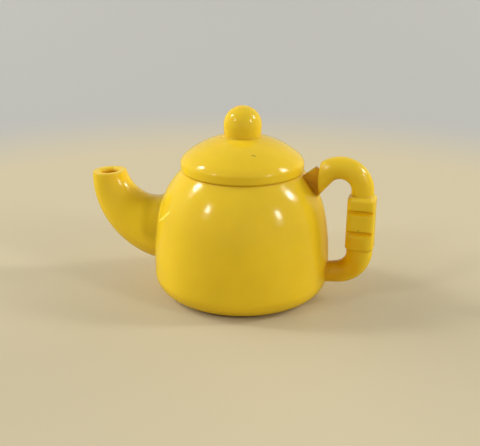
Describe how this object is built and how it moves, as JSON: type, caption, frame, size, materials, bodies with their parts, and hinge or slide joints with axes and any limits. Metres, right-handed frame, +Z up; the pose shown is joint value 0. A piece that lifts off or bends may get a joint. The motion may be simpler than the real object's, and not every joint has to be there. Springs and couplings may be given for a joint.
{
  "type": "toy teapot",
  "caption": "Small moulded toy teapot with a domed lid form, a round knob, a curved spout, a grip handle and a round socket in its hollow underside.",
  "frame": {"origin": "centre of the base on the pot's axis, at the mouth of the socket in the underside", "axes": "+Z up along the pot's axis, +X towards the handle, -X towards the spout, +Y across"},
  "size_m": [0.0259, 0.0156, 0.0169],
  "materials": {
    "yellow_plastic": "glossy as moulded, with a few light scratches"
  },
  "bodies": {
    "root": {"teapot": "yellow_plastic"}
  },
  "joints": []
}
